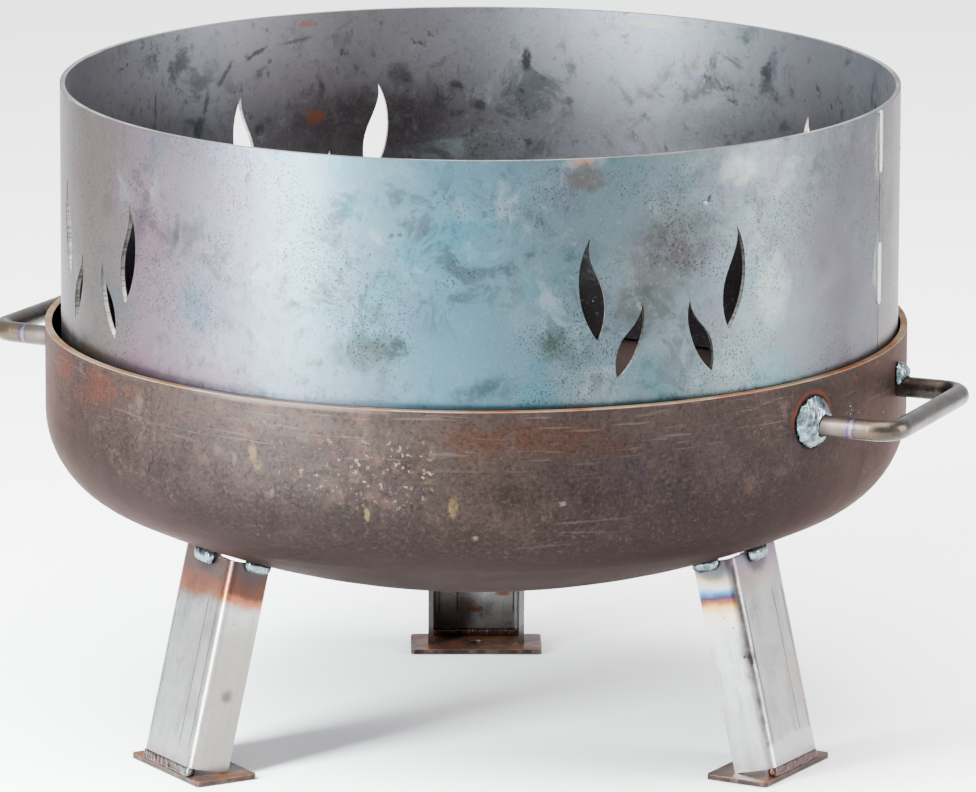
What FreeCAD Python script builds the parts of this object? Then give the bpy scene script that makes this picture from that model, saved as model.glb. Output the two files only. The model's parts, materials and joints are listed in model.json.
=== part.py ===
import FreeCAD, Part
import math
import os

# Portable fire bowl: a dished steel head on three channel legs, two bar
# handles, and a loose rolled ring with flame-shaped windows standing in it.
# Millimetres.  +Z is up, the floor is z = 0, the bowl's axis is the Z axis
# and the two handles lie on the X axis.

# ---- bowl: dished head with a straight rim flange -------------------------
BOWL_OD = 500.0
BOWL_WALL = 4.0
BOWL_FLANGE = 50.0                      # straight, cylindrical rim height
BOWL_RIM_Z = 245.0
CROWN_R = BOWL_OD                       # inside radius of the shallow dish
KNUCKLE_R = BOWL_OD / 10                # inside radius of the corner bend

# ---- legs: cold-formed channel, web outwards, square-cut ends -------------
LEG_AZIMUTHS = {"back": 118.1, "front": 238.1, "right": 358.1}
LEG_SHIFT = (1.6, 2.5)                  # the legs' circle against the bowl's axis
LEG_WEB = 58.0
LEG_FLANGE = 25.0
LEG_WALL = 3.0
LEG_BEND_R = 6.0                        # outside radius of the two folds
LEG_TILT = 13.3                         # degrees outwards, going down
LEG_FOOT_R = 209.0                      # outer face of the web at its foot
LEG_FOOT_Z = 8.5

# ---- foot plates ----------------------------------------------------------
PLATE_WIDTH = 79.0
PLATE_DEPTH = 39.0
PLATE_EDGE_R = 210.4                    # outer edge, just past the leg's web
PLATE_THICK = 3.0
PLATE_CORNER_R = 2.5
PLATE_HOLE_R = 4.5

# ---- handles: bent round bar ----------------------------------------------
BAR_R = 6.0
HANDLE_Z = 219.0
HANDLE_HALF = 57.0                      # bar axis to the handle's middle
HANDLE_BEND_R = 13.0
# bowl's side to the crossbar's axis, and the small angle that each handle
# is welded on askew
HANDLES = {"right": {"azimuth": 0.0, "reach": 38.7, "skew": 4.0},
           "left": {"azimuth": 180.0, "reach": 40.2, "skew": 0.0}}

# ---- welds ----------------------------------------------------------------
# Handle welds are caps of spheres: radius, how far the centre sits inside
# the wall's face, and how far above the bar's axis.
HANDLE_DOMES = {"front": (17.0, 8.0, 1.5), "back": (8.5, 1.5, 6.5)}
WEB_BEAD = (5.0, 19.0)                  # bead radius and overall length
FLANGE_BEAD = (4.5, 17.0)
FOOT_BEAD = (54.0, 6.0, 0.3)            # length, depth, height above the web
SEAM_BEAD = (36.0, 5.0, 0.7)            # length, width, height above the ring
SEAM_BEAD_TOPS = {"top": 0.5, "middle": 77.0, "bottom": 154.0}

# ---- wind ring ------------------------------------------------------------
RING_OD = 485.0
RING_WALL = 3.0
RING_TOP_Z = 385.0
RING_HEIGHT = 200.0
RING_TURN = 7.0                         # where the ring's seam stands
RING_SHIFT = (1.78, 0.92)               # the ring stands a little off centre
SEAM_GAP = 0.8
FLAME_GROUPS = (45.2, 136.2, 225.1, 315.8)
# Each group: distance along the ring from the group's middle to a flame's
# tip, and from the ring's top down to its foot.
TALL_FLAME = {"offset": 45.7, "drop": 103.5}
SMALL_FLAME = {"offset": 14.8, "drop": 126.0}
# Outline of one flame: x across, y up from its foot, for a flame whose belly
# lies on the +x side of the tip.
TALL_SHAPE = {
    "tip": (0.0, 58.5),
    "left": [(-5.0, 46.0), (-6.4, 34.0), (-4.5, 19.0), (-0.5, 8.5)],
    "foot": (5.0, 0.0),
    "right": [(8.4, 9.5), (9.2, 18.5), (8.0, 27.5), (4.8, 36.0), (1.2, 44.5)],
}
SMALL_SHAPE = {
    "tip": (0.0, 42.0),
    "left": [(-1.3, 31.0), (1.0, 20.5), (5.2, 11.0)],
    "foot": (14.6, 0.0),
    "right": [(15.8, 9.0), (14.6, 16.5), (11.2, 23.5), (6.8, 28.5), (2.4, 34.5)],
}

V = FreeCAD.Vector
Z_AXIS = V(0, 0, 1)

knuckle_z = BOWL_RIM_Z - BOWL_FLANGE
knuckle_x = BOWL_OD / 2 - BOWL_WALL - KNUCKLE_R
crown_z = knuckle_z + math.sqrt((CROWN_R - KNUCKLE_R) ** 2 - knuckle_x ** 2)


def polar(radius, azimuth, z=0.0):
    angle = math.radians(azimuth)
    return V(radius * math.cos(angle), radius * math.sin(angle), z)


def turned(shape, azimuth):
    copy = shape.copy()
    copy.rotate(V(0, 0, 0), Z_AXIS, azimuth)
    return copy


def arc(start, middle, end):
    return Part.Arc(start, middle, end).toShape()


def line(start, end):
    return Part.LineSegment(start, end).toShape()


def dish_edges(grow):
    """Half outline from the rim down to the axis; grow = 0 is the inside."""
    crown, knuckle = CROWN_R + grow, KNUCKLE_R + grow
    lean = math.asin(knuckle_x / (CROWN_R - KNUCKLE_R))

    def on_knuckle(angle):
        return V(knuckle_x + knuckle * math.sin(angle), 0,
                 knuckle_z - knuckle * math.cos(angle))

    def on_crown(angle):
        return V(crown * math.sin(angle), 0, crown_z - crown * math.cos(angle))

    rim = V(knuckle_x + knuckle, 0, BOWL_RIM_Z)
    side = on_knuckle(math.pi / 2)
    bend = on_knuckle((math.pi / 2 + lean) / 2)
    return [line(rim, side),
            arc(side, bend, on_crown(lean)),
            arc(on_crown(lean), on_crown(lean / 2), on_crown(0))]


def revolve(edges):
    wire = Part.Wire(Part.__sortEdges__(edges))
    return Part.Face(wire).revolve(V(0, 0, 0), Z_AXIS, 360)


def filled_bowl(grow):
    top, bottom = V(0, 0, BOWL_RIM_Z), V(0, 0, crown_z - CROWN_R - grow)
    rim = V(knuckle_x + KNUCKLE_R + grow, 0, BOWL_RIM_Z)
    return revolve(dish_edges(grow) + [line(top, rim), line(bottom, top)])


def make_bowl():
    outside, inside = dish_edges(BOWL_WALL), dish_edges(0)
    radius = knuckle_x + KNUCKLE_R
    rim = line(V(radius, 0, BOWL_RIM_Z), V(radius + BOWL_WALL, 0, BOWL_RIM_Z))
    axis = line(V(0, 0, crown_z - CROWN_R), V(0, 0, crown_z - CROWN_R - BOWL_WALL))
    return revolve(outside + inside + [rim, axis])


# Everything welded to the bowl is cut back to its outer face.
BOWL_SOLID = filled_bowl(BOWL_WALL)


def channel_face():
    """Channel section in XY with the web's outer face on x = 0."""
    half, depth = LEG_WEB / 2, LEG_FLANGE
    loops = []
    for inset, radius in ((0.0, LEG_BEND_R), (LEG_WALL, LEG_BEND_R - LEG_WALL)):
        x, y = -inset, half - inset
        bulge = radius * (1 - math.sqrt(0.5))
        loops.append([V(-depth, -y, 0), V(x - radius, -y, 0),
                      V(x - bulge, -y + bulge, 0), V(x, -y + radius, 0),
                      V(x, y - radius, 0), V(x - bulge, y - bulge, 0),
                      V(x - radius, y, 0), V(-depth, y, 0)])
    edges = []
    for a, b, c, d, e, f, g, h in loops:
        edges += [line(a, b), arc(b, c, d), line(d, e), arc(e, f, g), line(g, h)]
    for end in (0, 7):
        edges.append(line(loops[0][end], loops[1][end]))
    return Part.Face(Part.Wire(Part.__sortEdges__(edges)))


def stand_up(shape):
    """From the leg's own frame (web face x = 0, foot z = 0) to the bowl's +X."""
    copy = shape.copy()
    copy.rotate(V(0, 0, 0), V(0, 1, 0), -LEG_TILT)
    copy.translate(V(LEG_FOOT_R, 0, LEG_FOOT_Z))
    return copy


def make_plate():
    plate = Part.makeBox(PLATE_DEPTH, PLATE_WIDTH, PLATE_THICK,
                         V(PLATE_EDGE_R - PLATE_DEPTH, -PLATE_WIDTH / 2, 0))
    corners = [e for e in plate.Edges
               if abs(e.Vertexes[0].Z - e.Vertexes[1].Z) > PLATE_THICK / 2]
    plate = plate.makeFillet(PLATE_CORNER_R, corners)
    hole = Part.makeCylinder(PLATE_HOLE_R, 3 * PLATE_THICK,
                             V(PLATE_EDGE_R - PLATE_DEPTH / 2, 0, -PLATE_THICK))
    return plate.cut(hole)


def capsule(radius, length, centre, direction):
    """Round-ended bead of the given overall length."""
    direction = V(*direction)
    direction.normalize()
    half = length / 2 - radius
    start, end = centre - direction * half, centre + direction * half
    bead = Part.makeCylinder(radius, 2 * half, start, direction)
    return bead.fuse([Part.makeSphere(radius, start), Part.makeSphere(radius, end)])


def place_leg(shape, azimuth):
    copy = turned(shape, azimuth)
    copy.translate(V(LEG_SHIFT[0], LEG_SHIFT[1], 0))
    return copy


def leg_length(crown):
    """Length at which both flanges' inner ends have just met the crown."""
    lean = math.radians(LEG_TILT)
    up = V(-math.sin(lean), 0, math.cos(lean))
    inner = V(LEG_FOOT_R - LEG_FLANGE * math.cos(lean), 0,
              LEG_FOOT_Z - LEG_FLANGE * math.sin(lean))
    lengths = []
    for side in (-1, 1):
        gap = inner + V(0, side * LEG_WEB / 2, 0) - crown
        along = gap.dot(up)
        reach = CROWN_R + BOWL_WALL
        lengths.append(-along - math.sqrt(along ** 2 - gap.dot(gap) + reach ** 2))
    return max(lengths) + 0.3


def make_leg_parts(azimuth):
    """Leg, plate and weld beads, made on +X, then turned and shifted."""
    back = V(-LEG_SHIFT[0], -LEG_SHIFT[1], 0)
    bowl = BOWL_SOLID.copy()
    bowl.translate(back)
    bowl = turned(bowl, -azimuth)
    crown = Part.Vertex(back + V(0, 0, crown_z))
    length = leg_length(turned(crown, -azimuth).Point)
    leg = stand_up(channel_face().extrude(V(0, 0, length)))
    plate = make_plate()
    leg = leg.cut([bowl, plate])

    # the channel's full outline, so that no bead reaches inside it
    hull = stand_up(Part.makeBox(LEG_FLANGE, LEG_WEB, length,
                                 V(-LEG_FLANGE, -LEG_WEB / 2, 0)))
    beads = {}
    radius, long = WEB_BEAD
    beads["leg_weld_web"] = capsule(radius, long, V(0.5, 0, length - 1.5), (0, 1, 0))
    radius, long = FLANGE_BEAD
    for name, side in (("leg_weld_left", 1), ("leg_weld_right", -1)):
        centre = V(-LEG_FLANGE * 0.66, side * (LEG_WEB / 2 + 0.5), length - 0.8)
        beads[name] = capsule(radius, long, centre, (1, 0, 0.08))
    long, depth, proud = FOOT_BEAD
    wedge = Part.makeBox(depth, long, 12, V(proud - depth, -long / 2, -12))
    ends = [e for e in wedge.Edges if abs(e.Vertexes[0].Z - e.Vertexes[1].Z) > 6]
    beads["foot_weld"] = wedge.makeFillet(depth / 2 - 0.2, ends)
    solids = {"leg": leg, "foot_plate": plate}
    under = Part.makeBox(60, 100, 60, V(LEG_FOOT_R - 40, -50, PLATE_THICK - 60))
    for name, bead in beads.items():
        solids[name] = stand_up(bead).cut([hull, leg, bowl, plate, under])
    return {name: place_leg(shape, azimuth) for name, shape in solids.items()}


def make_handle(reach, skew):
    """U of round bar at the bowl's +X side, skewed about the middle of its wall."""
    half, bend, z = HANDLE_HALF, HANDLE_BEND_R, HANDLE_Z
    bulge = bend * (1 - math.sqrt(0.5))
    side = BOWL_OD / 2
    start, reach = side - 50, side + reach
    edges = [
        line(V(start, -half, z), V(reach - bend, -half, z)),
        arc(V(reach - bend, -half, z), V(reach - bulge, -half + bulge, z),
            V(reach, -half + bend, z)),
        line(V(reach, -half + bend, z), V(reach, half - bend, z)),
        arc(V(reach, half - bend, z), V(reach - bulge, half - bulge, z),
            V(reach - bend, half, z)),
        line(V(reach - bend, half, z), V(start, half, z)),
    ]
    section = Part.Wire(Part.makeCircle(BAR_R, V(start, -half, z), V(1, 0, 0)))
    bar = Part.Wire(edges).makePipeShell([section], True, False)
    bar.rotate(V(side, 0, 0), Z_AXIS, skew)
    bar = bar.cut(BOWL_SOLID)
    return max(bar.Solids, key=lambda s: s.BoundBox.XMax)


def make_handle_weld(bar, end, side):
    """Domed weld where one end of the bar meets the wall."""
    radius, sink, lift = HANDLE_DOMES[end]
    azimuth = math.degrees(math.asin(side * HANDLE_HALF / (BOWL_OD / 2)))
    centre = polar(BOWL_OD / 2 - sink, azimuth, HANDLE_Z + lift)
    dome = Part.makeSphere(radius, centre).cut([BOWL_SOLID, bar])
    return max(dome.Solids, key=lambda s: s.Volume)


def flame(shape, azimuth, foot_z, mirror):
    """Prism through the ring wall in the shape of one flame."""
    def at(point):
        x = -point[0] if mirror else point[0]
        return V(0, x, foot_z + point[1])

    tip, foot = at(shape["tip"]), at(shape["foot"])
    left, right = Part.BSplineCurve(), Part.BSplineCurve()
    left.interpolate([tip] + [at(p) for p in shape["left"]] + [foot])
    right.interpolate([foot] + [at(p) for p in shape["right"]] + [tip])
    face = Part.Face(Part.Wire([left.toShape(), right.toShape()]))
    prism = face.extrude(V(60, 0, 0))
    prism.translate(V(RING_OD / 2 - 30, 0, 0))
    return turned(prism, azimuth)


def flame_cutters():
    cutters = []
    for group in FLAME_GROUPS:
        for shape, place in ((TALL_SHAPE, TALL_FLAME), (SMALL_SHAPE, SMALL_FLAME)):
            for side in (-1, 1):
                azimuth = group + side * math.degrees(place["offset"] / (RING_OD / 2))
                # tall flames belly towards the middle of the group,
                # small ones away from it
                inwards = shape is TALL_SHAPE
                mirror = (side > 0) if inwards else (side < 0)
                cutters.append(flame(shape, azimuth, RING_TOP_Z - place["drop"], mirror))
    return cutters


def place_ring(shape):
    copy = turned(shape, RING_TURN)
    copy.translate(V(RING_SHIFT[0], RING_SHIFT[1], 0))
    return copy


def tube(outer, inner, bottom, height):
    base = V(0, 0, bottom)
    return Part.makeCylinder(outer, height, base).cut(Part.makeCylinder(inner, height, base))


def make_ring_parts():
    outer, bottom = RING_OD / 2, RING_TOP_Z - RING_HEIGHT
    ring = tube(outer, outer - RING_WALL, bottom, RING_HEIGHT)
    slit = Part.makeBox(20, SEAM_GAP, RING_HEIGHT + 2,
                        V(outer - 15, -SEAM_GAP / 2, bottom - 1))
    ring = ring.cut([slit] + flame_cutters())
    parts = {}
    length, width, proud = SEAM_BEAD
    for name, drop in SEAM_BEAD_TOPS.items():
        low = RING_TOP_Z - drop - length
        pad = Part.makeBox(20, width, length, V(outer - 10, -width / 2, low))
        ends = [e for e in pad.Edges if abs(e.Vertexes[0].X - e.Vertexes[1].X) > 10]
        pad = pad.makeFillet(width / 2 - 0.1, ends)
        bead = pad.common(tube(outer + proud, outer - 1.5, low, length))
        parts["seam_weld_" + name] = bead
    ring = ring.cut(list(parts.values()))
    parts["wind_ring"] = ring
    return {name: place_ring(shape) for name, shape in parts.items()}


def build():
    parts = {"bowl": make_bowl()}
    for place, azimuth in LEG_AZIMUTHS.items():
        for name, shape in make_leg_parts(azimuth).items():
            parts[name + "_" + place] = shape
    for place, handle in HANDLES.items():
        azimuth = handle["azimuth"]
        bar = make_handle(handle["reach"], handle["skew"])
        parts["handle_" + place] = turned(bar, azimuth)
        for end, side in (("back", 1), ("front", -1)):
            side = side if place == "right" else -side
            weld = make_handle_weld(bar, end, side)
            parts["handle_weld_%s_%s" % (place, end)] = turned(weld, azimuth)
    parts.update(make_ring_parts())
    return parts


os.makedirs("parts", exist_ok=True)
for name, shape in build().items():
    solids = shape.Solids
    print(name, len(solids), shape.isValid(), round(shape.Volume))
    if len(solids) == 1:
        shape = solids[0]
    shape.exportStep("parts/" + name + ".step")
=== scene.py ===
import json
import math
from random import Random

import bmesh
import bpy
from mathutils import Matrix, Vector, noise

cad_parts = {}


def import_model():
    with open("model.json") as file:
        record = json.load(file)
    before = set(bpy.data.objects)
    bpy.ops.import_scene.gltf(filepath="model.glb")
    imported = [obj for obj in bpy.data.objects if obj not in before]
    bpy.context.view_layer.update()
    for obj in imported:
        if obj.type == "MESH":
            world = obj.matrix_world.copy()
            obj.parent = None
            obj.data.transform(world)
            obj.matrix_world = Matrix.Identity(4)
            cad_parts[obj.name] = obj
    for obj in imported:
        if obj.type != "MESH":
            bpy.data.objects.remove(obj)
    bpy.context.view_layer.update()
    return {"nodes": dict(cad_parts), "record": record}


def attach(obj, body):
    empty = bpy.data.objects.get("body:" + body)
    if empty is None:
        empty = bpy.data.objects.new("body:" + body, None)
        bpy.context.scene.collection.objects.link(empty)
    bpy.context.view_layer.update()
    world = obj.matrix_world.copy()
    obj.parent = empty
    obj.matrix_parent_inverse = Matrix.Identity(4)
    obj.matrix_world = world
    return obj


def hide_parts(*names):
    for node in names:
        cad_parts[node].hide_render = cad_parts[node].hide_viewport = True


# Looks for a raw-steel fire bowl.  Metres, in the same frame as the CAD part:
# floor z = 0, bowl axis = Z, handles on the X axis.  Azimuths are in degrees
# round Z from +X; heights and spans of painted marks are in millimetres.

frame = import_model()
nodes = frame["nodes"]

# Round surfaces unroll both ways from these azimuths, so that the cut at the
# far side misses the painted marks.
RING_MIDDLE, BOWL_MIDDLE = 210.0, 300.0
RING_CENTRE = (0.00178, 0.00092)
RING_OUT, RING_IN = 0.2425, 0.2395
RING_MID = (RING_OUT + RING_IN) / 2
RING_TOP, BOWL_RIM = 0.385, 0.245
RING_TURN = 7.0           # azimuth of the ring's seam
BOWL_OUT = 0.250
# The dish's mid-wall: a crown sphere centred on the axis, and a knuckle.
CROWN_RADIUS, CROWN_CENTRE_Z = 0.502, 0.60007
KNUCKLE_R, KNUCKLE_Z, KNUCKLE_RADIUS = 0.196, 0.195, 0.052
CROWN_END = 0.2185        # radius past which the knuckle decides the side
LEG_SHIFT = (0.0016, 0.0025)
LEG_TILT = 13.3
LEG_FOOT = (0.209, 0.0, 0.0085)   # foot of a web, before its turn round the axis
LEG_FOLD = 0.0262         # half width of a web, at its folds
PER_LEG = 8.0             # turns a height on a leg into a place on a ramp
LEGS = {"back": 118.1, "front": 238.1, "right": 358.1}
# Tones scale all colours of a material to suit this bright studio.
RING_TONE, BOWL_TONE = 0.21, 0.092
LEG_TONE, BAR_TONE, PLATE_TONE, WELD_TONE, GROUND_TONE = 0.34, 0.19, 0.26, 0.28, 0.50
# Painted light: the gain below lifts the colours of the ring's inside above those of its outside, in place
# of light the lamps don't bring.
INSIDE_PAINTED_LIGHT_GAIN = 2.2         # lifts the ring's inside, which the studio lights hardly reach


# ---------------------------------------------------------------- shader kit
def lin(r, g, b):
    """Linear colour from 0-255 display values."""
    out = []
    for c in (r, g, b):
        c = c / 255.0
        out.append(c / 12.92 if c <= 0.04045 else ((c + 0.055) / 1.055) ** 2.4)
    return (out[0], out[1], out[2], 1.0)


class Graph:
    """Small helper that builds one node material."""

    def __init__(self, name, tone=1.0):
        self.tone = tone      # one factor on every colour of the material
        self.mat = bpy.data.materials.new(name)
        self.mat.use_nodes = True
        self.tree = self.mat.node_tree
        self.tree.nodes.clear()
        self.out = self.node("ShaderNodeOutputMaterial")
        self.bsdf = self.node("ShaderNodeBsdfPrincipled")
        self.link(self.bsdf.outputs[0], self.out.inputs[0])
        self.pos = self.node("ShaderNodeTexCoord").outputs["Object"]

    def col(self, r, g, b, gain=1.0):
        return tuple(min(c * self.tone * gain, 1.0) for c in lin(r, g, b)[:3]) + (1.0,)

    def node(self, kind, **props):
        n = self.tree.nodes.new(kind)
        for key, value in props.items():
            setattr(n, key, value)
        return n

    def link(self, a, b):
        self.tree.links.new(a, b)

    def put(self, socket, value):
        if isinstance(value, bpy.types.NodeSocket):
            self.link(value, socket)
        else:
            socket.default_value = value

    def math(self, op, a, b=None, c=None, clamp=False):
        n = self.node("ShaderNodeMath", operation=op, use_clamp=clamp)
        for i, v in enumerate((a, b, c)):
            if v is not None:
                self.put(n.inputs[i], v)
        return n.outputs[0]

    def add(self, *values):
        out = values[0]
        for v in values[1:]:
            out = self.math("ADD", out, v)
        return out

    def minus(self, a, b):
        return self.math("SUBTRACT", a, b)

    def absolute(self, a):
        return self.math("ABSOLUTE", a)

    def times(self, *values):
        out = values[0]
        for v in values[1:]:
            out = self.math("MULTIPLY", out, v)
        return out

    def vmath(self, op, a, b=None):
        n = self.node("ShaderNodeVectorMath", operation=op)
        self.put(n.inputs[0], a)
        if b is not None:
            self.put(n.inputs[1], b)
        return n.outputs[0]

    def mapping(self, vector, kind, **values):
        n = self.node("ShaderNodeMapping", vector_type=kind)
        self.put(n.inputs["Vector"], vector)
        for key, value in values.items():
            n.inputs[key].default_value = value
        return n.outputs[0]

    def scaled(self, vector, scale):
        return self.mapping(vector, "POINT", Scale=scale)

    def turned(self, vector, axis, degrees):
        n = self.node("ShaderNodeVectorRotate", rotation_type="AXIS_ANGLE")
        self.put(n.inputs["Vector"], vector)
        n.inputs["Axis"].default_value = axis
        n.inputs["Angle"].default_value = math.radians(degrees)
        return n.outputs[0]

    def noise_node(self, scale, detail, rough, vec, warp):
        n = self.node("ShaderNodeTexNoise")
        self.put(n.inputs["Vector"], vec or self.pos)
        n.inputs["Scale"].default_value = scale
        n.inputs["Detail"].default_value = detail
        n.inputs["Roughness"].default_value = rough
        n.inputs["Distortion"].default_value = warp
        return n

    def noise(self, scale, detail=4.0, rough=0.55, vec=None, warp=0.0):
        return self.noise_node(scale, detail, rough, vec, warp).outputs[0]

    def warped(self, vector, scale, amount, detail=3.0):
        """vector pushed about by noise, by up to about amount."""
        colour = self.noise_node(scale, detail, 0.6, None, 0.0).outputs["Color"]
        push = self.vmath("SUBTRACT", colour, (0.5, 0.5, 0.5))
        push = self.vmath("MULTIPLY", push, (2 * amount,) * 3)
        return self.vmath("ADD", vector, push)

    def cells(self, scale, vec=None):
        n = self.node("ShaderNodeTexVoronoi", feature="F1")
        self.put(n.inputs["Vector"], vec or self.pos)
        n.inputs["Scale"].default_value = scale
        return n.outputs["Distance"], n.outputs["Color"]

    def span(self, value, low, high, to_low=0.0, to_high=1.0):
        n = self.node("ShaderNodeMapRange", interpolation_type="SMOOTHSTEP")
        self.put(n.inputs["Value"], value)
        for name, v in (("From Min", low), ("From Max", high), ("To Min", to_low), ("To Max", to_high)):
            self.put(n.inputs[name], v)
        return n.outputs[0]

    def ramp(self, value, stops):
        n = self.node("ShaderNodeValToRGB")
        self.put(n.inputs[0], value)
        els = n.color_ramp.elements
        els[0].position, els[0].color = stops[0]
        els[1].position, els[1].color = stops[-1]
        for place, colour in stops[1:-1]:
            els.new(place).color = colour
        return n.outputs[0]

    def mix(self, fac, a, b, blend="MIX"):
        n = self.node("ShaderNodeMix", data_type="RGBA", blend_type=blend)
        self.put(n.inputs[0], fac)
        self.put(n.inputs[6], a)
        self.put(n.inputs[7], b)
        return n.outputs[2]

    def over(self, base, tint, *masks):
        """The display colour tint laid over base where all the masks are 1."""
        return self.mix(self.times(*masks), base, self.col(*tint))

    def tints(self, value, *stops):
        """A ramp of display colours, each stop (place, colour)."""
        return self.ramp(value, [(place, self.col(*colour)) for place, colour in stops])

    def xyz(self, vector=None):
        n = self.node("ShaderNodeSeparateXYZ")
        self.put(n.inputs[0], vector or self.pos)
        return n.outputs

    def vector(self, x, y, z=0.0):
        n = self.node("ShaderNodeCombineXYZ")
        for i, v in enumerate((x, y, z)):
            self.put(n.inputs[i], v)
        return n.outputs[0]

    def round_axis(self, centre, middle):
        """Radius, angle in radians from the middle azimuth (-pi to pi), height."""
        flat = self.vmath("SUBTRACT", self.pos, (centre[0], centre[1], 0.0))
        flat = self.turned(flat, (0, 0, 1), -middle)
        x, y, z = self.xyz(flat)
        radius = self.math("SQRT", self.add(self.times(x, x), self.times(y, y)))
        return radius, self.math("ARCTAN2", y, x), z

    def patch(self, plane, place, size, soft=0.6, turn=0.0):
        """1 inside an ellipse on an unrolled surface, fading to 0 at its edge."""
        local = self.mapping(plane, "TEXTURE", Location=(place[0], place[1], 0),
                             Rotation=(0, 0, math.radians(turn)), Scale=(size[0], size[1], 1))
        n = self.node("ShaderNodeVectorMath", operation="LENGTH")
        self.put(n.inputs[0], local)
        return self.span(n.outputs["Value"], 1.0, 1.0 - soft)

    def finish(self, colour, rough, metal, bump=None, strength=0.3, distance=0.001, edge=None):
        self.put(self.bsdf.inputs["Base Color"], colour)
        self.put(self.bsdf.inputs["Roughness"], rough)
        self.put(self.bsdf.inputs["Metallic"], metal)
        if edge:
            self.bsdf.inputs["Specular Tint"].default_value = (*edge, 1.0)
        if bump is not None:
            n = self.node("ShaderNodeBump")
            n.inputs["Strength"].default_value = strength
            n.inputs["Distance"].default_value = distance
            self.put(n.inputs["Height"], bump)
            self.link(n.outputs[0], self.bsdf.inputs["Normal"])
        return self.mat


class Wall:
    """An upright round surface, unrolled so that marks can be laid on it.

    A mark is (azimuth, height mm, half width mm, half height mm, colour,
    strength) and, if wanted, softness and a turn in degrees.
    """

    LONG, BROAD = 6.0, 4.0    # marks larger than both half sizes get ragged outlines
    BROKEN = 2.2              # marks of a larger half size are broken up inside

    def __init__(self, graph, centre, radius, middle):
        self.g, self.middle, self.radius = graph, middle, radius
        self.r, self.angle, self.z = graph.round_axis(centre, middle)
        self.flat = graph.vector(graph.times(self.angle, radius), self.z)
        self.crisp = graph.warped(graph.warped(self.flat, 260, 0.0018), 800, 0.0010)
        self.ragged = graph.warped(graph.warped(self.flat, 50, 0.009), 260, 0.0035)
        self.patchy = graph.span(graph.noise(110, 5, 0.7), 0.34, 0.54, 0.35, 1.0)

    def across(self, azimuth):
        off = (azimuth - self.middle + 180) % 360 - 180
        return math.radians(off) * self.radius

    def turn_ramp(self, stops, wander=0.05, gain=1.0):
        """Colours by azimuth, in display values."""
        g = self.g
        shift = g.times(g.minus(g.noise(7, 3, 0.6), 0.5), wander * 2)
        t = g.add(g.math("DIVIDE", g.add(self.angle, shift), 2 * math.pi), 0.5)
        placed = []
        for azimuth, colour in stops:
            off = (azimuth - self.middle + 180) % 360 - 180
            placed.append((off / 360 + 0.5, g.col(*colour, gain)))
        return g.ramp(t, sorted(placed))

    def mark(self, azimuth, height, half_w, half_h, soft=0.6, turn=0.0):
        large = max(half_w, half_h) > self.LONG and min(half_w, half_h) > self.BROAD
        plane = self.ragged if large else self.crisp
        return self.g.patch(plane, (self.across(azimuth), height / 1000),
                            (half_w / 1000, half_h / 1000), soft, turn)

    def paint(self, colour, marks, gain=1.0):
        for azimuth, height, half_w, half_h, tint, strength, *more in marks:
            fac = self.g.times(self.mark(azimuth, height, half_w, half_h, *more), strength)
            if min(half_w, half_h) > self.BROKEN:
                fac = self.g.times(fac, self.patchy)
            colour = self.g.mix(fac, colour, self.g.col(*tint, gain))
        return colour


# ---------------------------------------------------------------- materials
def grime(g, scale, low, high, detail=3, rough=0.5, vec=None, shift=(0, 0, 0)):
    """Thresholded noise: separate specks or patches."""
    return g.span(g.noise(scale, detail, rough, vec=g.vmath("ADD", vec or g.pos, shift)), low, high)


def dots(g, scale, radius, share):
    """Round dots of the given radius in some of the cells of a loose grid."""
    distance, colour = g.cells(scale)
    picked = g.math("LESS_THAN", g.xyz(colour)[0], share)
    return g.times(g.span(distance, radius * scale, radius * scale * 0.6), picked)


# Tint stops (azimuth, display colour) and stains, matched to the real ring.
# Partly painted reflection: the lilac stops at 248 and 262, the teal ones at 272 and 292 and the darker one
# at 310 follow the light on the ring as well as its tint.
RING_OUTSIDE = [
    (12, (176, 156, 144)), (40, (150, 140, 134)), (95, (138, 146, 152)), (190, (138, 128, 126)),
    (214, (128, 115, 110)), (232, (138, 120, 108)), (248, (166, 146, 158)), (262, (164, 160, 178)),
    (272, (146, 168, 182)), (292, (112, 162, 182)), (310, (116, 138, 148)), (335, (138, 158, 164)),
    (355, (138, 138, 146)), (6, (144, 142, 146))]
RING_OUTSIDE_MARKS = [
    # pale washed clouds, partly a painted reflection of the right-hand lamp
    (334, 372, 18, 12, (188, 206, 198), 0.75), (340, 300, 17, 30, (190, 208, 204), 0.7),
    (337, 335, 12, 22, (176, 178, 192), 0.5),
    # dull olive and brown wipes
    (323, 330, 34, 34, (98, 94, 86), 0.75), (319, 300, 22, 22, (94, 92, 86), 0.75),
    (312, 373, 16, 10, (112, 98, 88), 0.75), (307, 283, 10, 14, (64, 78, 66), 0.9, 0.8),
    (309, 276, 22, 12, (92, 106, 104), 0.55, 0.8), (298, 256, 26, 9, (66, 88, 94), 0.8, 0.9, 12),
    (314, 258, 14, 10, (96, 106, 106), 0.6),
    # dark smudge with wiped strokes above it
    (285, 279, 17, 11, (62, 80, 84), 0.95, 0.5), (281, 275, 26, 14, (88, 108, 112), 0.8, 0.7),
    (283, 297, 12, 8, (118, 138, 142), 0.7, 0.5), (279, 300, 22, 20, (124, 146, 150), 0.45, 0.9),
    (285, 258, 7, 14, (104, 126, 130), 0.6, 0.9),
    # thin dark scuffs
    (253, 330, 4, 15, (108, 96, 108), 0.8, 0.8, -8), (247, 347, 5, 5, (118, 98, 106), 0.6),
    (262, 300, 40, 14, (132, 142, 160), 0.4, 0.9), (237, 333, 10, 9, (122, 102, 100), 0.6),
    (304, 332, 4, 2, (80, 104, 112), 0.7),
    # two small round dots, and a stain beside a spatter bead
    (285.8, 342, 1.7, 1.7, (92, 102, 116), 0.9, 0.4), (287.0, 342.6, 1.7, 1.7, (90, 102, 114), 0.9, 0.4),
    (329.2, 357.5, 1.8, 2.4, (60, 64, 66), 0.9, 0.5)]
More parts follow.
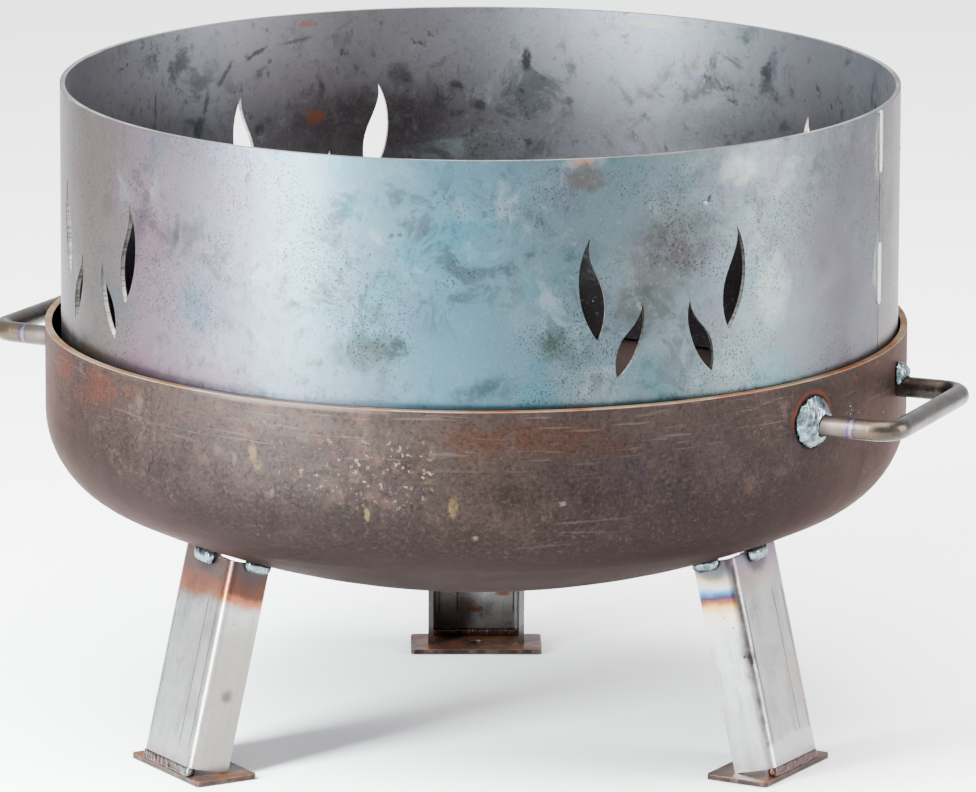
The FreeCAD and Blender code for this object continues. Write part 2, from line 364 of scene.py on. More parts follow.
# Partly painted highlight and shade: the lighter stops at 90 and 163 and the darker ones at 118 and 140
# follow the light inside the ring as well as its tint.
RING_INSIDE = [
    (185, (150, 148, 154)), (163, (154, 154, 162)), (140, (134, 130, 134)), (118, (132, 130, 135)),
    (90, (152, 157, 166)), (66, (140, 140, 146)), (0, (140, 136, 136)), (250, (134, 130, 130))]
RING_INSIDE_MARKS = [
    # brown stain low in the middle, partly painted shade, with an orange spot
    (133, 318, 80, 28, (52, 32, 30), 0.8, 0.7), (142.4, 321, 8, 6, (176, 92, 20), 0.95, 0.7),
    (151, 317, 5, 5, (76, 46, 42), 0.8),
    # rolled arcs and runs
    (162, 325, 5, 11, (84, 82, 90), 0.9, 0.6), (160.5, 338, 2.5, 12, (90, 88, 96), 0.8, 0.6, 14),
    (157, 354, 2.2, 13, (84, 82, 90), 0.8, 0.6, 38), (151.5, 364, 12, 1.8, (78, 76, 84), 0.85, 0.6, -22),
    (145, 369, 16, 1.6, (86, 82, 88), 0.7, 0.7, -8), (141, 338, 3.5, 8, (66, 60, 62), 0.8),
    (171, 342, 1.6, 12, (92, 90, 98), 0.8), (129, 344, 9, 12, (50, 44, 46), 0.7, 0.8),
    # rusty touches near the rim
    (143, 379, 9, 3, (150, 104, 88), 0.7), (92, 379, 34, 3, (176, 168, 150), 0.5),
    # separate stains towards the right
    (110.8, 353, 4, 9, (48, 45, 50), 0.95, 0.5), (121, 336, 6, 6, (60, 36, 36), 0.85, 0.6),
    (117.5, 325, 5, 4, (50, 44, 46), 0.9, 0.6), (121.5, 320, 9, 3, (84, 52, 50), 0.7, 0.6, -14),
    (92, 338, 6, 6, (120, 112, 108), 0.7), (85, 357, 5, 6, (132, 128, 104), 0.85, 0.8),
    (71, 362, 8, 16, (96, 94, 104), 0.7, 0.8, 24), (104.5, 329, 4, 4, (60, 50, 48), 0.8)]


def ring_steel():
    g = Graph("ring_blued_steel", RING_TONE)
    wall = Wall(g, RING_CENTRE, RING_OUT, RING_MIDDLE)
    cloud = g.noise(6, 5, 0.6, warp=0.5)
    fine = g.noise(420, 4, 0.7)
    mill = g.noise(210, 6, 0.75, vec=g.scaled(g.pos, (1, 1, 0.75)))
    is_in = g.span(wall.r, RING_MID + 0.0002, RING_MID - 0.0002)

    outside = wall.paint(wall.turn_ramp(RING_OUTSIDE), RING_OUTSIDE_MARKS)
    # painted light: the inside tints and marks are lifted by the inside gain
    inside = wall.paint(wall.turn_ramp(RING_INSIDE, gain=INSIDE_PAINTED_LIGHT_GAIN), RING_INSIDE_MARKS, INSIDE_PAINTED_LIGHT_GAIN)
    colour = g.mix(is_in, outside, inside)

    # the sheet past the seam is brushed, beige-brown
    seam_side = g.minus(wall.angle, math.radians(RING_TURN + 360 - RING_MIDDLE))
    past = g.times(g.span(seam_side, 0.0, 0.002), g.span(seam_side, 0.38, 0.25), g.minus(1.0, is_in))
    streak = g.span(g.noise(90, 4, 0.6, vec=g.scaled(g.pos, (1, 1, 0.05))), 0.3, 0.7)
    colour = g.mix(g.times(past, 0.85), colour, g.mix(streak, g.col(152, 134, 126), g.col(186, 172, 162)))

    # painted shade: the inside darkens towards the bottom, where the light hardly reaches
    low = g.times(is_in, g.span(wall.z, 0.376, 0.310))
    colour = g.over(colour, (104, 96, 100), low, 0.7)
    deep_inside_shade = g.span(g.add(wall.z, g.times(g.minus(cloud, 0.5), 0.06)), 0.30, 0.235)
    colour = g.over(colour, (46, 32, 30), is_in, deep_inside_shade, 0.92)

    # mottled mill scale: stained and rubbed places, cool and warm tints
    mottle = g.noise(38, 7, 0.72, warp=0.6)
    worn = g.span(g.noise(11, 4, 0.6, vec=g.vmath("ADD", g.pos, (0.4, 0.9, 0.2))), 0.38, 0.62)
    colour = g.over(colour, (84, 90, 90), g.span(mottle, 0.50, 0.62), worn, 0.70)
    colour = g.over(colour, (190, 206, 210), g.span(mottle, 0.47, 0.34), worn, 0.50)
    hue = g.noise(14, 5, 0.65, vec=g.vmath("ADD", g.pos, (0.1, 0.5, 0.7)))
    outer = g.minus(1.0, g.times(is_in, 0.8))
    colour = g.mix(g.times(g.span(hue, 0.54, 0.64), outer, 0.75), colour, (0.98, 0.78, 0.86, 1), "MULTIPLY")
    colour = g.mix(g.times(g.span(hue, 0.46, 0.36), outer, 0.85), colour, (0.66, 0.98, 1.0, 1), "MULTIPLY")
    colour = g.over(colour, (104, 110, 110), g.span(cloud, 0.54, 0.72), 0.35)
    colour = g.over(colour, (190, 200, 206), g.span(cloud, 0.44, 0.30), 0.25)
    colour = g.over(colour, (78, 86, 90), g.span(mill, 0.53, 0.66), g.span(cloud, 0.40, 0.60), 0.50)
    colour = g.over(colour, (210, 218, 222), g.span(fine, 0.44, 0.30), 0.20)
    pits = g.times(grime(g, 850, 0.56, 0.63), g.span(g.noise(16, 4, 0.65), 0.42, 0.60))
    colour = g.over(colour, (40, 42, 44), pits, outer, 0.70)
    colour = g.over(colour, (44, 44, 47), dots(g, 75, 0.0007, 0.25), 0.8)
    blots = g.times(grime(g, 150, 0.60, 0.68, 4, 0.55), g.span(g.noise(20, 3, 0.6), 0.4, 0.6))
    colour = g.over(colour, (66, 62, 66), blots, is_in, 0.55)

    # ground patches over the seam welds
    ground = wall.mark(RING_TURN - 0.4, 367, 8, 24, 0.5)
    for height in (292, 215):
        ground = g.math("MAXIMUM", ground, wall.mark(RING_TURN - 0.4, height, 8, 23, 0.5))
    ground = g.times(ground, g.minus(1.0, is_in))
    grind = g.noise(700, 2, 0.5, vec=g.scaled(g.pos, (1, 1, 0.04)))
    colour = g.mix(ground, colour,
                   g.mix(g.span(grind, 0.35, 0.65), g.col(188, 182, 176), g.col(244, 242, 238)))

    # cut faces: rolled edge at the top, flame-cut ripples in the windows
    cut = g.times(g.span(wall.r, RING_IN + 0.0002, RING_IN + 0.0004),
                  g.span(wall.r, RING_OUT - 0.0002, RING_OUT - 0.0004))
    cut_colour = g.tints(g.noise(55, 4, 0.6), (0.35, (206, 200, 192, 2.6)), (0.6, (176, 168, 160, 2.6)),
                         (0.75, (150, 128, 112, 2.6)))
    ripple = g.noise(780, 1, 0.5, vec=g.scaled(g.pos, (0.02, 0.02, 1)))
    cut_colour = g.over(cut_colour, (92, 84, 80), g.span(ripple, 0.45, 0.6), 0.5)
    rust = g.math("MAXIMUM", wall.mark(311, 384, 16, 5, 0.6),
                  g.times(g.span(wall.z, RING_TOP - 0.0008, RING_TOP - 0.0004),
                          g.span(g.noise(24, 4, 0.6), 0.60, 0.70)))
    cut_colour = g.over(cut_colour, (192, 112, 66), rust, 0.85)
    colour = g.mix(cut, colour, cut_colour)
    colour = g.over(colour, (176, 108, 76), wall.mark(311, 382.5, 11, 2.2, 0.6), 0.7)

    rough = g.add(g.times(is_in, 0.09), g.span(cloud, 0.45, 0.7, 0.31, 0.39), g.times(fine, 0.06),
                  g.times(pits, 0.12))
    metal = g.minus(0.94, g.times(rust, 0.5))
    height = g.add(g.times(g.noise(5, 2, 0.5), 4.0), g.times(mill, 0.30), g.times(fine, 0.15))
    return g.finish(colour, rough, metal, height, 0.4, 0.0009, edge=(0.66, 0.66, 0.68))


# The same for the bowl.
BOWL_TINTS = [
    (215, (116, 88, 80)), (250, (112, 94, 93)), (275, (120, 106, 105)), (300, (104, 86, 80)),
    (320, (98, 82, 86)), (350, (106, 92, 88)), (12, (150, 132, 126)), (30, (120, 106, 100)),
    (100, (104, 88, 83))]
BOWL_MARKS = [
    # orange bloom under the rim at the left, and a red-brown band further round
    (227, 236, 20, 10, (178, 104, 84), 0.75), (239, 232, 26, 12, (170, 104, 80), 0.75),
    (234, 222, 20, 10, (146, 96, 80), 0.6), (247, 236, 14, 7, (166, 112, 88), 0.6),
    (219, 205, 30, 24, (146, 104, 92), 0.6), (232, 213, 14, 12, (84, 80, 84), 0.6),
    (304, 231, 60, 11, (126, 76, 58), 0.6), (311, 222, 40, 8, (120, 74, 60), 0.5),
    (297, 226, 20, 12, (132, 86, 70), 0.5), (345, 236, 20, 6, (126, 92, 78), 0.4),
    # pale washed area in the middle, partly a painted highlight
    (273, 233, 50, 10, (156, 142, 134), 0.55), (268, 214, 44, 18, (130, 118, 118), 0.35),
    (286, 228, 30, 12, (142, 128, 118), 0.4), (283, 197, 60, 20, (102, 92, 90), 0.35),
    # mortar-like tan scuffs
    (267.6, 214, 3.5, 8, (198, 164, 122), 0.9, 0.7), (268.4, 207, 3, 6, (186, 160, 118), 0.85, 0.7),
    (264.8, 209, 2.4, 5, (176, 160, 150), 0.7), (262.0, 213, 4, 5, (150, 138, 136), 0.6),
    (283.5, 184.5, 2, 5.5, (204, 176, 124), 0.95, 0.6), (294.6, 191, 3.4, 8.5, (208, 176, 116), 0.95, 0.6),
    (291.5, 205, 5, 2.5, (168, 142, 110), 0.6), (292, 222, 3, 6, (176, 160, 136), 0.5),
    (251.0, 214, 2.6, 7, (160, 134, 108), 0.7, 0.7), (278.5, 203, 8, 5, (156, 138, 122), 0.45),
    (282, 206, 6, 5, (164, 140, 118), 0.55), (270.5, 193, 1.6, 4, (170, 160, 150), 0.6),
    (308.6, 192, 2.6, 1.8, (196, 186, 178), 0.8), (297.5, 172, 2, 2.2, (210, 186, 164), 0.85),
    # dark arc and dull places
    (250.4, 196, 1.4, 9, (58, 50, 54), 0.8, 0.6, -22), (252.6, 184, 1.4, 6, (60, 50, 52), 0.7, 0.6, -38),
    (256, 221, 7, 3, (92, 100, 98), 0.6), (277.5, 214, 8, 6, (112, 112, 112), 0.5),
    (281, 221, 7, 8, (92, 86, 92), 0.5), (318, 206, 16, 10, (74, 68, 82), 0.5),
    # long thin scratches low on the right
    (313, 181, 30, 0.7, (140, 122, 114), 0.7, 0.5, 2), (312, 174, 24, 0.9, (146, 120, 106), 0.6, 0.6, -3),
    (306, 166, 26, 1.2, (136, 116, 106), 0.6, 0.7, 3), (289, 150, 30, 1.0, (120, 84, 76), 0.5),
    (330, 150, 24, 1.0, (130, 104, 98), 0.5, 0.7, 14), (341, 196, 8, 5, (140, 124, 118), 0.4),
    # spatter marks near the right handle
    (357, 238, 2, 3, (206, 110, 60), 0.8), (4, 240, 3, 3, (196, 112, 70), 0.7),
    (1, 232, 1.6, 1.6, (214, 150, 110), 0.8)]
BOWL_WELDS = [(-13.2, True), (13.2, False), (166.8, False), (193.2, True)]   # azimuth, is it large


def bowl_steel():
    g = Graph("bowl_scale_steel", BOWL_TONE)
    wall = Wall(g, (0, 0), BOWL_OUT, BOWL_MIDDLE)
    cloud = g.noise(8, 6, 0.62, warp=0.4)
    fine = g.noise(430, 6, 0.78)
    base = wall.turn_ramp(BOWL_TINTS)
    blotch = g.noise(40, 7, 0.72, vec=g.vmath("ADD", g.pos, (0.3, 0.8, 0.6)))
    base = g.over(base, (58, 46, 46), g.span(blotch, 0.50, 0.62), 0.55)
    base = g.over(base, (150, 126, 118), g.span(blotch, 0.46, 0.36), 0.40)
    # Painted light and shade: the wall is lighter towards the rim and darker lower down.
    high = g.span(wall.z, 0.19, 0.24)
    base = g.over(base, (160, 134, 124), high, 0.35)
    base = g.over(base, (74, 62, 60), g.span(wall.z, 0.205, 0.165), 0.75)
    base = g.over(base, (48, 34, 33), g.span(wall.z, 0.165, 0.115), 0.85)
    base = g.over(base, (70, 64, 64), g.span(cloud, 0.35, 0.65), 0.45)
    base = wall.paint(base, BOWL_MARKS)
    base = g.over(base, (150, 130, 118), g.span(fine, 0.52, 0.66), 0.62)
    base = g.over(base, (42, 33, 33), g.span(fine, 0.49, 0.36), 0.62)
    pits = g.times(grime(g, 700, 0.60, 0.70), g.span(g.noise(22, 3, 0.6), 0.40, 0.62))
    base = g.over(base, (40, 32, 32), pits, 0.5)
    flecks = g.times(grime(g, 330, 0.59, 0.67, 4, 0.6), g.span(g.noise(15, 3, 0.6), 0.44, 0.60),
                     g.math("MAXIMUM", wall.mark(287, 207, 120, 38, 1.0), 0.12))
    base = g.over(base, (206, 182, 152, 1.6), flecks, 0.8)
    rust = g.times(grime(g, 60, 0.54, 0.66, 6, 0.68), g.span(g.noise(7, 3, 0.5), 0.46, 0.62),
                   g.span(wall.z, 0.15, 0.22))
    base = g.over(base, (146, 86, 62), rust, 0.5)
    hair = g.noise(240, 2, 0.5, vec=g.scaled(g.pos, (0.12, 0.12, 2.2)))
    hairs = g.times(g.span(hair, 0.60, 0.70), g.span(wall.z, 0.198, 0.225))
    base = g.over(base, (186, 172, 160), hairs, 0.35)

    # painted shade: the underside darkened towards the bottom
    base = g.mix(g.span(wall.z, 0.200, 0.095), base, (0.42, 0.27, 0.27, 1), "MULTIPLY")

    # heat rings round the handle welds, with painted shade where they meet the wall
    for azimuth, large in BOWL_WELDS:
        a = math.radians(azimuth)
        centre = (BOWL_OUT * math.cos(a), BOWL_OUT * math.sin(a), 0.2205 if large else 0.2255)
        n = g.node("ShaderNodeVectorMath", operation="DISTANCE")
        g.put(n.inputs[0], g.warped(g.pos, 90, 0.0016))
        n.inputs[1].default_value = centre
        away = g.math("DIVIDE", n.outputs["Value"], 0.0145 if large else 0.0085)
        base = g.over(base, (86, 78, 84), g.span(away, 1.9, 1.25), 0.55)
        halo = g.times(g.span(away, 1.36, 1.22), g.span(away, 1.08, 1.14), g.span(wall.z, 0.212, 0.228))
        base = g.over(base, (186, 96, 58), halo, g.span(g.noise(45, 4, 0.6), 0.36, 0.52), 0.85)
        # painted shade: a near-black ring where the weld meets the wall
        edge = g.span(away, 1.14, 1.05)
        base = g.over(base, (28, 22, 24), edge, 0.9)

    # painted shade: the inner side of the dish made dark brown
    dish_inside_shade = g.tints(g.noise(12, 6, 0.65), (0.3, (44, 34, 32)), (0.5, (66, 50, 46)), (0.65, (86, 66, 58)),
                   (0.8, (54, 42, 40)))
    base = g.mix(g.times(g.span(wall.r, BOWL_OUT - 0.0018, BOWL_OUT - 0.0022), inside_of_dish(g, wall)),
                 base, dish_inside_shade)

    rim = g.span(wall.z, BOWL_RIM - 0.0007, BOWL_RIM - 0.0003)
    rim_tone = g.tints(g.noise(30, 5, 0.7), (0.36, (222, 196, 168, 3)), (0.52, (200, 160, 126, 3)),
                       (0.66, (196, 118, 66, 2.5)), (0.8, (224, 150, 70, 3)))
    base = g.mix(g.times(rim, 0.92), base, rim_tone)
    # Partly a painted highlight: a pale band just under the rim, in the middle.
    rim_band_highlight = g.times(g.span(wall.z, BOWL_RIM - 0.0035, BOWL_RIM - 0.0010), wall.mark(272, 244, 70, 9, 0.6))
    base = g.over(base, (214, 200, 188), rim_band_highlight, 0.7)

    rough = g.add(g.span(cloud, 0.3, 0.7, 0.40, 0.52), g.times(fine, 0.12), g.times(rust, 0.1))
    height = g.add(g.times(g.noise(150, 5, 0.65), 0.4), g.times(fine, 0.35),
                   g.times(g.noise(18, 4, 0.6), 1.2),
                   g.times(pits, -0.4), g.times(hairs, -0.2))
    metal = g.math("SUBTRACT", 0.80, g.times(g.math("MAXIMUM", rust, flecks), 0.5), clamp=True)
    return g.finish(base, rough, metal, height, 0.40, 0.0008, edge=(0.50, 0.38, 0.34))


def inside_of_dish(g, wall):
    """1 on the inner side of the bowl, 0 on the outer side."""
    crown = g.math("SQRT", g.minus(CROWN_RADIUS ** 2, g.times(wall.r, wall.r)))
    above_crown = g.math("GREATER_THAN", g.add(wall.z, crown), CROWN_CENTRE_Z)
    dx = g.math("MAXIMUM", g.minus(wall.r, KNUCKLE_R), 0.0)
    dz = g.math("MAXIMUM", g.minus(KNUCKLE_Z, wall.z), 0.0)
    bend = g.math("SQRT", g.add(g.times(dx, dx), g.times(dz, dz)))
    inside_bend = g.math("LESS_THAN", bend, KNUCKLE_RADIUS)
    outer = g.math("GREATER_THAN", wall.r, CROWN_END)
    return g.add(g.times(outer, inside_bend), g.times(g.minus(1.0, outer), above_crown))


def leg_frame(g, azimuth):
    """Position in one leg's own frame: x out of its web, y across, z up it."""
    p = g.vmath("SUBTRACT", g.pos, (LEG_SHIFT[0], LEG_SHIFT[1], 0.0))
    p = g.turned(p, (0, 0, 1), -azimuth)
    p = g.vmath("SUBTRACT", p, LEG_FOOT)
    return g.turned(p, (0, 1, 0), LEG_TILT)


def leg_steel(place):
    """Bare channel with die lines, scuffs and heat colours near the welds."""
    g = Graph("leg_steel_" + place, LEG_TONE)
    local = leg_frame(g, LEGS[place])
    x, y, z = g.xyz(local)
    wob = g.add(z, g.times(g.minus(g.noise(45, 4, 0.6), 0.5), 0.012))
    flange = g.span(g.absolute(y), 0.0260, 0.0285)
    left = g.times(flange, g.math("LESS_THAN", y, 0.0))
    fine = g.noise(500, 3, 0.6, vec=g.scaled(local, (1, 1, 0.2)))
    base = g.tints(g.noise(34, 6, 0.62), (0.30, (184, 180, 178)), (0.50, (214, 213, 212)),
                   (0.72, (198, 192, 188)))
    base = g.over(base, (140, 136, 134), g.span(fine, 0.5, 0.75), 0.25)
    # faint die lines along the web
    for across in (-0.0225, 0.0115, 0.0225):
        off = g.absolute(g.minus(g.add(y, g.times(g.noise(30, 1), 0.0006)), across))
        die = g.times(g.span(off, 0.0007, 0.0003), g.minus(1.0, flange), g.span(z, 0.008, 0.014),
                      g.span(z, 0.104, 0.094), g.span(g.noise(60, 3, 0.6), 0.26, 0.40))
        base = g.over(base, (62, 50, 52), die, 0.9)
    scuff = g.times(grime(g, 70, 0.60, 0.70, 5, 0.6), g.span(g.noise(20, 2), 0.45, 0.6))
    base = g.over(base, (116, 108, 114), scuff, 0.6)
    drawn = g.noise(150, 5, 0.7, vec=g.scaled(local, (1, 1, 0.12)))
    base = g.over(base, (146, 138, 136), g.span(drawn, 0.50, 0.66), 0.45)
    fold = g.span(g.absolute(g.minus(g.absolute(y), LEG_FOLD)), 0.005, 0.001)
    if place == "right":
        heat = g.tints(g.times(wob, PER_LEG), (0.66, (222, 220, 216)), (0.735, (232, 224, 190)),
                       (0.775, (226, 176, 104)), (0.80, (150, 84, 60)), (0.822, (58, 50, 78)),
                       (0.845, (66, 120, 168)), (0.872, (176, 192, 198)), (0.90, (196, 172, 132)),
                       (0.925, (122, 134, 142)), (0.96, (96, 92, 92)), (1.0, (60, 56, 56)))
        base = g.mix(g.times(left, g.span(z, 0.080, 0.086)), base, heat)
        web_heat = g.tints(g.times(wob, PER_LEG), (0.78, (214, 210, 208)), (0.86, (204, 186, 180)),
                           (0.90, (190, 164, 176)), (0.94, (164, 150, 168)), (1.0, (130, 118, 124)))
        base = g.mix(g.times(g.minus(1.0, left), g.span(z, 0.094, 0.104)), base, web_heat)
        # A dark stain on the fold, partly a painted dark reflection.
        fold_stain_and_reflection = g.times(fold, g.math("LESS_THAN", y, 0.0), g.math("GREATER_THAN", x, -0.006),
                        g.span(g.absolute(g.minus(z, 0.062)), 0.016, 0.002))
        base = g.over(base, (70, 56, 54), fold_stain_and_reflection, g.span(g.noise(130, 4, 0.6), 0.35, 0.6))
        # Painted reflection: the fold darkened along its length.
        fold_dark_reflection = g.times(g.span(g.absolute(g.add(y, LEG_FOLD)), 0.0026, 0.0006),
                         g.span(g.noise(40, 4, 0.6), 0.30, 0.52))
        base = g.over(base, (84, 74, 72), fold_dark_reflection, 0.85)
        web_wash = g.times(g.span(g.absolute(g.minus(z, 0.040)), 0.030, 0.006),
                           g.math("GREATER_THAN", y, -0.02))
        base = g.over(base, (200, 178, 164), web_wash, g.span(g.noise(26, 4), 0.4, 0.62), 0.6)
        bright = g.times(g.span(wob, 0.016, 0.013), g.minus(1.0, flange))
        base = g.over(base, (244, 242, 240), bright, 0.8)
    elif place == "front":
        bloom = g.span(wob, 0.091, 0.099)
        tone = g.tints(g.add(g.times(wob, PER_LEG), g.times(g.minus(g.noise(120, 5, 0.7), 0.5), 0.16)),
                       (0.74, (190, 150, 120)), (0.79, (176, 92, 44)), (0.85, (150, 78, 50)),
                       (0.90, (104, 78, 70)), (0.95, (122, 82, 74)), (1.0, (84, 62, 58)))
        base = g.mix(g.times(bloom, 0.95), base, tone)
        dark = g.times(flange, g.math("GREATER_THAN", y, 0.0), g.span(wob, 0.099, 0.103))
        base = g.over(base, (60, 44, 42), dark, 0.8)
        wash = g.times(flange, g.span(wob, 0.105, 0.070))
        base = g.over(base, (164, 152, 142), wash, 0.75)
        spot = g.patch(g.warped(g.vector(x, z), 200, 0.003), (-0.014, 0.044), (0.006, 0.006), 0.8)
        base = g.over(base, (104, 84, 96), spot, flange, 0.8)
    else:
        bloom = g.times(g.span(wob, 0.088, 0.104), 0.8)
        base = g.mix(bloom, base, g.tints(g.noise(60, 4), (0.4, (120, 90, 78)), (0.65, (170, 108, 76))))
        shade = g.times(g.math("LESS_THAN", x, -0.0025),
                        g.span(g.add(y, g.times(g.minus(g.noise(40, 3), 0.5), 0.02)), -0.006, 0.006))
        base = g.over(base, (70, 48, 46), shade, 0.75)
        inner_rust = 0.0
        for across, up, wide in ((-0.0165, 0.024, 0.0065), (0.000, 0.013, 0.0055), (0.003, 0.018, 0.003)):
            patch = g.patch(g.warped(g.vector(y, z), 220, 0.002), (across, up), (wide, wide * 0.5), 0.7)
            inner_rust = g.math("MAXIMUM", patch, inner_rust)
        base = g.over(base, (176, 112, 74), inner_rust, g.math("LESS_THAN", x, -0.0025), 0.9)
    # dark, burnt surface close to the beads at the top
    burnt = g.times(g.patch(g.warped(g.vector(y, z), 150, 0.002), (0.0, 0.121), (0.0165, 0.0130), 0.45),
                    g.math("GREATER_THAN", x, -0.0028))
    side = g.times(g.patch(g.warped(g.vector(x, z), 150, 0.002), (-0.0135, 0.121), (0.0150, 0.0115), 0.45),
                   flange)
    base = g.over(base, (70, 62, 64), g.math("MAXIMUM", burnt, side), 0.75)
    # a little brown round the foot
    base = g.over(base, (140, 104, 86), g.span(wob, 0.006, 0.0), 0.35)
    rough = g.add(g.span(g.noise(50, 4, 0.6), 0.3, 0.7, 0.24, 0.36), g.times(scuff, 0.15))
    height = g.add(g.times(fine, 0.3), g.times(g.noise(60, 3, 0.5), 0.7))
    return g.finish(base, rough, 0.93, height, 0.25, 0.0005)


def plate_steel():
    g = Graph("plate_steel", PLATE_TONE)
    _, _, z = g.xyz()
    patch = g.noise(70, 7, 0.7)
    base = g.tints(patch, (0.28, (54, 42, 40)), (0.42, (110, 72, 56)), (0.52, (150, 98, 72)),
                   (0.60, (198, 112, 50)), (0.72, (112, 84, 72)))
    base = g.over(base, (196, 180, 168), grime(g, 420, 0.58, 0.68), 0.5)
    side = g.times(g.span(z, 0.00275, 0.0025), g.span(z, 0.0002, 0.0004))
    shear = g.noise(160, 3, 0.6, vec=g.scaled(g.pos, (1, 1, 0.2)))
    base = g.mix(g.times(side, 0.85), base,
                 g.mix(g.span(shear, 0.45, 0.7), g.col(28, 28, 30), g.col(110, 108, 106)))
    height = g.add(g.noise(140, 5, 0.65), g.times(shear, side))
    return g.finish(base, g.span(g.noise(40, 3), 0.3, 0.7, 0.38, 0.60), 0.72, height, 0.35, 0.0006)


def bar_steel():
    g = Graph("bar_steel", BAR_TONE)
    x, y, _ = g.xyz()
    base = g.tints(g.noise(60, 6, 0.66), (0.30, (72, 62, 58)), (0.46, (104, 90, 82)),
                   (0.60, (128, 114, 104)), (0.76, (94, 72, 62)))
    base = g.over(base, (52, 44, 42), grime(g, 380, 0.56, 0.68, 4), 0.5)
    base = g.over(base, (196, 178, 162), grime(g, 500, 0.62, 0.70, 3, 0.5, None, (0.3, 0.1, 0.2)), 0.5)
    # temper colours on each arm, close to its weld
    along = g.absolute(x)
    tint = g.tints(g.times(g.minus(g.add(along, g.times(g.noise(150, 3), 0.003)), 0.250), 20.0),
                   (0.0, (70, 66, 70)), (0.18, (150, 134, 122)), (0.34, (140, 120, 108)),
                   (0.37, (84, 74, 160)), (0.40, (196, 176, 150)), (0.43, (88, 66, 130)),
                   (0.47, (140, 116, 96)), (0.8, (120, 104, 84)), (1.0, (96, 84, 76)))
    arm = g.times(g.span(g.absolute(y), 0.040, 0.046), g.math("LESS_THAN", y, 0.0))
    base = g.mix(g.times(arm, g.span(along, 0.296, 0.280), 0.85), base, tint)
    height = g.add(g.times(g.noise(260, 4, 0.6), 0.6), g.noise(60, 3, 0.6))
    return g.finish(base, g.span(g.noise(50, 4), 0.3, 0.7, 0.26, 0.42), 0.88, height, 0.3, 0.0005)


def weld_metal(name, bead):
    """As-laid weld metal; the foot beads carry more brown than the others."""
    g = Graph(name, WELD_TONE)
    base = g.tints(g.noise(140, 4, 0.55), (0.30, (56, 60, 66)), (0.42, (112, 130, 138)),
                   (0.54, (176, 198, 206)), (0.64, (136, 152, 154)), (0.78, (92, 80, 74)))
    if bead == "foot":
        base = g.over(base, (112, 84, 78), g.span(g.noise(60, 4, 0.6), 0.26, 0.48, 0.35, 1.0))
    base = g.over(base, (40, 38, 40), grime(g, 400, 0.60, 0.68, 3), 0.6)
    base = g.over(base, (168, 92, 52), grime(g, 90, 0.60, 0.70, 5, 0.6, None, (0.7, 0.2, 0.5)), 0.8)
    return g.finish(base, g.span(g.noise(120, 4), 0.3, 0.7, 0.20, 0.40), 0.92, g.noise(420, 4, 0.6), 0.4,
                    0.0005)


def ground_weld():
    g = Graph("ground_weld", GROUND_TONE)
    scratch = g.noise(700, 2, 0.5, vec=g.scaled(g.pos, (1, 1, 0.04)))
    base = g.mix(g.span(scratch, 0.35, 0.65), g.col(196, 190, 184), g.col(246, 244, 240))
    base = g.over(base, (160, 140, 130), grime(g, 90, 0.6, 0.7), 0.4)
    return g.finish(base, g.span(scratch, 0.3, 0.7, 0.26, 0.38), 0.95, scratch, 0.3, 0.0004)


materials = {
    "bowl_scale_steel": bowl_steel(), "ring_blued_steel": ring_steel(), "plate_steel": plate_steel(),
    "bar_steel": bar_steel(), "weld_metal": weld_metal("weld_metal", "round"), "ground_weld": ground_weld(),
}
leg_materials = {place: leg_steel(place) for place in LEGS}
foot_weld_metal = weld_metal("foot_weld_metal", "foot")
slot_of = {s["node"]: s["material_slot"] for s in frame["record"]["subparts"]}
for name, obj in nodes.items():
    if slot_of[name] == "leg_steel":
        chosen = leg_materials[name.removeprefix("leg_")]
    else:
        chosen = materials[slot_of[name]]
    for s in obj.material_slots:
        s.material = chosen


# ---------------------------------------------------------------- geometry
def soften(obj, width):
    """Break the sharp edges of a cut or sheared piece."""
    bevel = obj.modifiers.new("edge", "BEVEL")
    bevel.width = width
    bevel.segments = 2
    bevel.limit_method = "ANGLE"
    bevel.angle_limit = math.radians(50)


for name, obj in nodes.items():
    if slot_of[name] in ("leg_steel", "plate_steel"):
        soften(obj, 0.0003)


def leg_point(place, x, y, z):
    """A point given in one leg's own frame, as a point of the part."""
    turn = Matrix.Rotation(math.radians(LEGS[place]), 4, "Z")
    tilt = Matrix.Rotation(math.radians(-LEG_TILT), 4, "Y")
    return Vector((*LEG_SHIFT, 0)) + turn @ (Vector(LEG_FOOT) + tilt @ Vector((x, y, z)))


def keep(mesh, name, body, material, replaced=()):
    """One smooth-shaded piece that belongs to a body and a material slot."""
    for face in mesh.polygons:
        face.use_smooth = True
    mesh.materials.clear()
    mesh.materials.append(material)
    obj = bpy.data.objects.new(name, mesh)
    bpy.context.collection.objects.link(obj)
    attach(obj, body)
    if replaced:
        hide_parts(*replaced)
    return obj


